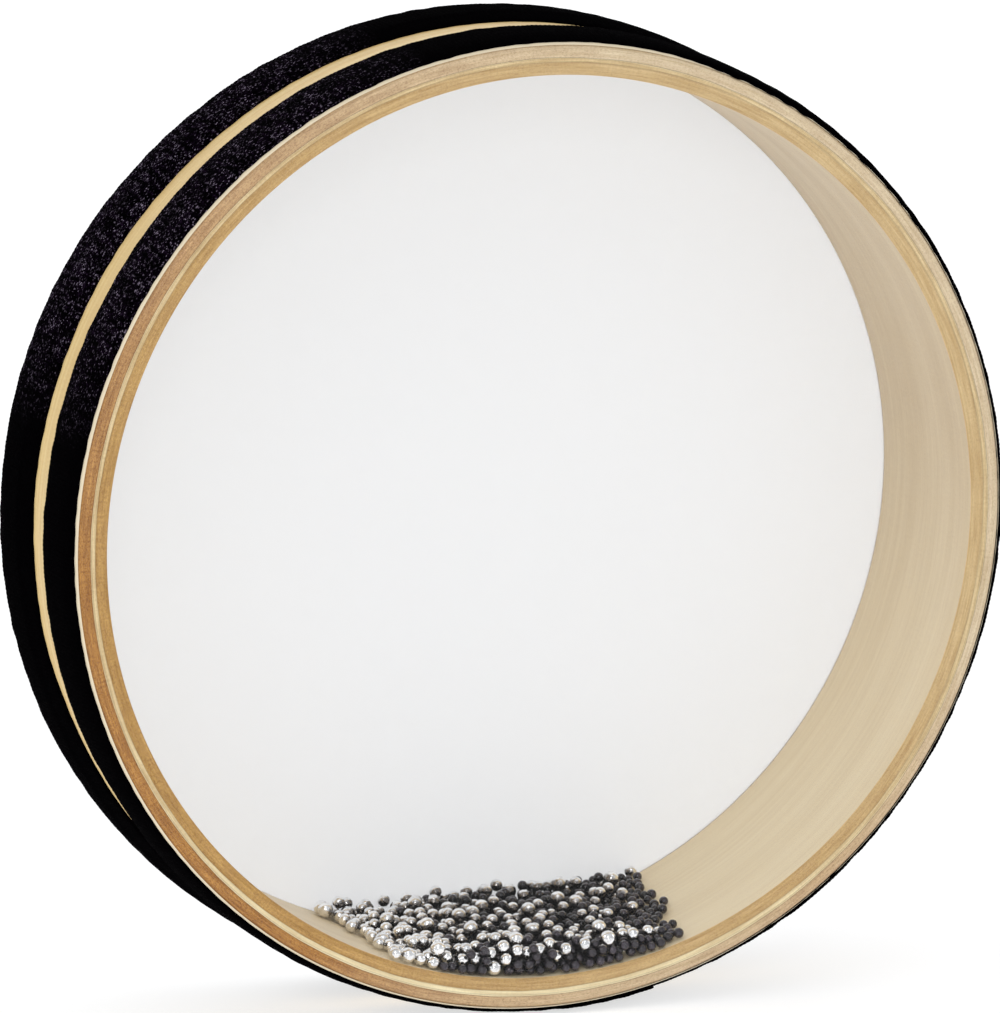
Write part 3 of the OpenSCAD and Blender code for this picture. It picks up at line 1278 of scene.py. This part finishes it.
@dataclass
class GlueBands:
    """The bands of glue under the folded films, which keep their CAD shape."""

    names: tuple[str, ...] = ("front_head_glue", "back_head_glue")

    def build(self, nodes: dict[str, bpy.types.Object]) -> None:
        """Dresses both bands.

        Args:
            nodes: The CAD nodes by name.
        """
        material = GlueFinish().material()
        for name in self.names:
            nodes[name].data.materials.clear()
            nodes[name].data.materials.append(material)
            LOG.info("%s: dressed", name)


@dataclass
class TapePair:
    """Both tapes, and where their edges stray: angles in degrees and lengths in millimetres."""

    front_lap_a: float = 276.0
    back_lap_a: float = 330.0
    front_seed: int = 61
    back_seed: int = 71
    front_inner: Drift = (
        (0.0, 0.0), (90.0, -0.2), (104.0, -1.2), (122.0, -0.8), (144.0, 0.0), (172.0, 0.0),
        (188.0, -0.8), (206.0, -1.7), (250.0, 0.0),
    )
    front_rim: Drift = (
        (0.0, 0.8), (20.0, 0.8), (44.0, 1.1), (64.0, 1.1), (78.0, 0.0), (286.0, 0.0), (300.0, 0.9),
    )
    back_inner: Drift = (
        (0.0, 0.0), (94.0, 1.5), (112.0, 1.5), (126.0, 0.5), (142.0, 0.2), (158.0, -0.8),
        (174.0, -0.1), (184.0, -0.6), (192.0, -0.2), (203.0, -2.2), (250.0, 0.0),
    )

    def build(self) -> None:
        """Builds and dresses both tapes."""
        weave = TapeFinish().material()
        EdgeTape(
            "front_edge_tape", "front_tape", Side.FRONT, self.front_lap_a, self.front_seed,
            self.front_inner, self.front_rim,
        ).build(weave)
        EdgeTape(
            "back_edge_tape", "back_tape", Side.BACK, self.back_lap_a, self.back_seed,
            self.back_inner,
        ).build(weave)


@dataclass(frozen=True)
class BeadKind:
    """One kind of bead: its CAD node, its radius and its metal."""

    name: str
    node: str
    radius: float
    slot: Slot
    seed: int


@dataclass
class BeadLoad:
    """The loose beads, each at the place that the CAD model gives it."""

    same_place: float = 0.5 * MM
    kinds: tuple[BeadKind, ...] = (
        BeadKind("large_bright_balls", "large_bright_beads", 2.1 * MM, Slot.BRIGHT_BEAD, 21),
        BeadKind("small_bright_balls", "small_bright_beads", 1.7 * MM, Slot.BRIGHT_BEAD, 22),
        BeadKind("large_dark_balls", "large_dark_beads", 1.4 * MM, Slot.DARK_BEAD, 23),
        BeadKind("small_dark_balls", "small_dark_beads", 1.25 * MM, Slot.DARK_BEAD, 24),
    )

    def centres(self, node: bpy.types.Object, radius: float) -> np.ndarray:
        """Finds the centre of every ball in a CAD node.

        A ball's centre stands under each of its triangles: it is the triangle's circumcentre,
        moved inwards along the normal by the root of the radius squared less the
        circumradius squared. Centres that fall together are one ball.

        Args:
            node: The CAD node.
            radius: Radius of its balls.

        Returns:
            The centres, one a row.
        """
        mesh = node.data
        points = np.empty(len(mesh.vertices) * 3, dtype=np.float32)
        mesh.vertices.foreach_get("co", points)
        corners = np.empty(len(mesh.loops), dtype=np.int32)
        mesh.loops.foreach_get("vertex_index", corners)
        a, b, c = np.moveaxis(points.reshape(-1, 3).astype(float)[corners.reshape(-1, 3)], 1, 0)
        ab, ac = b - a, c - a
        normal = np.cross(ab, ac)
        size = np.einsum("ij,ij->i", normal, normal)
        fair = size > np.median(size) * 0.05
        ab, ac, normal, size, a = ab[fair], ac[fair], normal[fair], size[fair], a[fair]
        ab2 = np.einsum("ij,ij->i", ab, ab)[:, None]
        ac2 = np.einsum("ij,ij->i", ac, ac)[:, None]
        arm = (np.cross(normal, ab) * ac2 + np.cross(ac, normal) * ab2) / (2.0 * size[:, None])
        sunk = np.sqrt(np.maximum(radius**2 - np.einsum("ij,ij->i", arm, arm), 0.0))
        guess = a + arm - normal / np.sqrt(size)[:, None] * sunk[:, None]
        cells, which = np.unique(np.round(guess / self.same_place), axis=0, return_inverse=True)
        which = which.ravel()
        count = np.bincount(which).astype(float)
        middles = np.stack([np.bincount(which, guess[:, k]) for k in range(3)], axis=1)
        middles = middles / count[:, None]
        apart = np.linalg.norm(middles[:, None] - middles[None], axis=-1)
        owner = np.argmax(apart < radius / 2.0, axis=1)
        groups, group = np.unique(owner, return_inverse=True)
        weight = np.bincount(group, count)
        sums = [np.bincount(group, middles[:, k] * count) for k in range(3)]
        return np.stack(sums, axis=1) / weight[:, None]

    def ball(self) -> tuple[np.ndarray, np.ndarray]:
        """A round ball of radius 1 with 80 triangles.

        Returns:
            Its points and its faces.
        """
        shape = bmesh.new()
        bmesh.ops.create_icosphere(shape, subdivisions=2, radius=1.0)
        points = np.array([v.co for v in shape.verts])
        faces = np.array([[v.index for v in face.verts] for face in shape.faces])
        shape.free()
        return points, faces

    @staticmethod
    def openness(
        points: np.ndarray, normals: np.ndarray, centres: np.ndarray, radii: np.ndarray
    ) -> np.ndarray:
        """How much of the open air each point sees past all the balls.

        A ball of radius R at distance d takes away R squared over d squared, times the cosine
        between the point's normal and the way to the ball, and nothing where it lies behind.

        Args:
            points: Points on the balls, one a row.
            normals: Their normals.
            centres: Centres of all balls.
            radii: Radii of all balls.

        Returns:
            A share from 0 to 1 for each point.
        """
        away = (centres**2).sum(axis=1)[None] + (points**2).sum(axis=1)[:, None]
        away = away - 2.0 * points @ centres.T
        ahead = normals @ centres.T - (points * normals).sum(axis=1)[:, None]
        taken = radii[None] ** 2 * np.maximum(ahead, 0.0) / away**1.5
        return np.clip(1.0 - taken.sum(axis=1), 0.0, 1.0)

    def turns(self, count: int, rng: np.random.Generator) -> np.ndarray:
        """Random turns, one for each ball, from random unit quaternions.

        Args:
            count: Number of balls.
            rng: Source of the random numbers.

        Returns:
            Turning matrices, shaped (count, 3, 3).
        """
        q = rng.normal(size=(count, 4))
        q /= np.linalg.norm(q, axis=1, keepdims=True)
        w, x, y, z = q.T
        rows = [
            [1 - 2 * (y * y + z * z), 2 * (x * y - w * z), 2 * (x * z + w * y)],
            [2 * (x * y + w * z), 1 - 2 * (x * x + z * z), 2 * (y * z - w * x)],
            [2 * (x * z - w * y), 2 * (y * z + w * x), 1 - 2 * (x * x + y * y)],
        ]
        return np.moveaxis(np.array(rows), -1, 0)

    def build(self, nodes: dict[str, bpy.types.Object]) -> None:
        """Builds and dresses the four kinds of bead.

        Args:
            nodes: The CAD nodes by name.
        """
        metals = {
            Slot.BRIGHT_BEAD: BeadFinish(
                "bright_steel", (0.84, 0.85, 0.87), (1.0, 1.0, 1.0), 1.0, (0.07, 0.22), 0.0,
                0.8, 0.9,
            ).material(),
            Slot.DARK_BEAD: BeadFinish(
                "dark_steel", (0.015, 0.011, 0.017), (0.046, 0.036, 0.050), 0.4, (0.10, 0.24), 0.5,
                0.6, 0.5,
            ).material(),
        }
        unit, faces = self.ball()
        places = [self.centres(nodes[kind.node], kind.radius) for kind in self.kinds]
        all_centres = np.concatenate(places)
        all_radii = np.repeat([kind.radius for kind in self.kinds], [len(p) for p in places])
        for kind, centres in zip(self.kinds, places):
            rng = np.random.default_rng(kind.seed)
            turned = np.einsum("nij,pj->npi", self.turns(len(centres), rng), unit)
            points = centres[:, None, :] + kind.radius * turned
            first = np.arange(len(centres))[:, None, None] * len(unit)
            obj = MeshMaker.new_object(
                kind.name, points.reshape(-1, 3), (first + faces[None]).reshape(-1, 3)
            )
            # The openness darkens the balls' colour in their metal, as painted shade between them.
            shares = [
                self.openness(centre + kind.radius * turn, turn, all_centres, all_radii)
                for centre, turn in zip(centres, turned)
            ]
            openness = obj.data.attributes.new("openness", "FLOAT", "POINT")
            openness.data.foreach_set("value", np.concatenate(shares).astype(np.float32))
            tone = obj.data.attributes.new("tone", "FLOAT", "POINT")
            tones = np.repeat(rng.uniform(0.0, 1.0, len(centres)), len(unit))
            tone.data.foreach_set("value", tones.astype(np.float32))
            finish_piece(obj, metals[kind.slot], Body.BEADS, kind.node)
            LOG.info("%s: %d balls", kind.name, len(centres))


@dataclass(frozen=True)
class Softbox:
    """A soft square lamp that looks at the drum's middle."""

    name: str
    place: tuple[float, float, float]
    width: float
    watts: float


@dataclass
class Studio:
    """The camera at the photograph's view, the floor and the soft lights."""

    yaw: float = math.radians(19.85)
    pitch: float = math.radians(-11.2)
    distance: float = 3883.5 * MM
    offset_right: float = -11.5 * MM
    offset_up: float = 5.97 * MM
    lens: float = 533.07
    sensor_w: float = 36.0
    sight_end: float = 100.0
    front_y: float = -32.0 * MM
    floor_z: float = -129.6 * MM
    floor_half: float = 12.0
    floor_glow: float = 0.68
    air_colour: tuple[float, float, float, float] = (0.97, 0.98, 1.0, 1.0)
    air_strength: float = 0.66
    softboxes: tuple[Softbox, ...] = (
        Softbox("front_softbox", (-0.86, -2.37, 0.92), 0.55, 10.0),
        Softbox("top_softbox", (-0.5, -1.6, 2.1), 1.6, 5.5),
        Softbox("left_softbox", (-2.3, -0.5, 1.3), 1.2, 4.8),
        Softbox("right_softbox", (2.2, -0.3, 1.0), 1.2, 4.5),
        Softbox("back_softbox", (0.2, 2.2, 1.1), 1.6, 8.0),
    )

    def camera(self) -> None:
        """Places the camera, looking along its own forward axis past the clear head's middle."""
        cy, sy = math.cos(self.yaw), math.sin(self.yaw)
        cp, sp = math.cos(self.pitch), math.sin(self.pitch)
        forward = np.array([sy * cp, cy * cp, sp])
        right = np.array([cy, -sy, 0.0])
        up = np.cross(right, forward)
        place = (
            np.array([0.0, self.front_y, 0.0])
            - forward * self.distance
            + right * self.offset_right
            + up * self.offset_up
        )
        data = bpy.data.cameras.new("photo_view")
        data.lens = self.lens
        data.sensor_width = self.sensor_w
        data.clip_end = self.sight_end
        camera = bpy.data.objects.new("photo_view", data)
        bpy.context.scene.collection.objects.link(camera)
        turn = np.eye(4)
        turn[:3, :] = np.stack([right, up, -forward, place], axis=1)
        camera.matrix_world = Matrix(turn.tolist())
        bpy.context.scene.camera = camera

    def floor(self) -> None:
        """Lays a plain pale floor that glows a little, so that shadows on it stay faint."""
        half, z = self.floor_half, self.floor_z
        points = np.array([[-half, -half, z], [half, -half, z], [half, half, z], [-half, half, z]])
        obj = MeshMaker.new_object("studio_floor", points, np.array([[0, 1, 2, 3]]))
        nodes = Nodes("studio_paper")
        cloud = nodes.noise(nodes.object_place(3.0), detail=1.0)
        nodes.colour_from(nodes.ramp(cloud, [(0.0, grey(0.46)), (1.0, grey(0.50))]))
        nodes.set(
            Roughness=0.9, Specular_IOR_Level=0.0, Emission_Color=(1.0, 1.0, 1.0, 1.0),
            Emission_Strength=self.floor_glow,
        )
        obj.data.materials.append(nodes.material)

    @staticmethod
    def lamp(box: Softbox) -> None:
        """Places a lamp.

        Args:
            box: The lamp.
        """
        data = bpy.data.lights.new(box.name, "AREA")
        data.shape = "RECTANGLE"
        data.size = data.size_y = box.width
        data.energy = box.watts
        lamp = bpy.data.objects.new(box.name, data)
        bpy.context.scene.collection.objects.link(lamp)
        back = np.array(box.place) / np.linalg.norm(box.place)
        right = np.cross([0.0, 0.0, 1.0], back)
        right /= np.linalg.norm(right)
        turn = np.eye(4)
        turn[:3, :] = np.stack([right, np.cross(back, right), back, box.place], axis=1)
        lamp.matrix_world = Matrix(turn.tolist())

    def light(self) -> None:
        """Lights the drum from the front, the top, both sides and behind, in pale air."""
        world = bpy.data.worlds.new("studio_air")
        world.use_nodes = True
        air = world.node_tree.nodes["Background"]
        air.inputs["Color"].default_value = self.air_colour
        air.inputs["Strength"].default_value = self.air_strength
        bpy.context.scene.world = world
        for box in self.softboxes:
            self.lamp(box)

    def build(self) -> None:
        """Builds the floor and the lights, and sets plain colours for the picture."""
        self.floor()
        self.light()
        bpy.context.scene.view_settings.view_transform = "Standard"


def main() -> None:
    """Loads the frame and builds the camera, the drum, its beads and the studio."""
    logging.basicConfig(level=logging.INFO, format="%(name)s: %(message)s")
    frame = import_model()
    studio = Studio()
    studio.camera()
    Shell().build()
    Heads().build()
    GlueBands().build(frame["nodes"])
    TapePair().build()
    BeadLoad().build(frame["nodes"])
    studio.build()


if __name__ == "__main__":
    main()
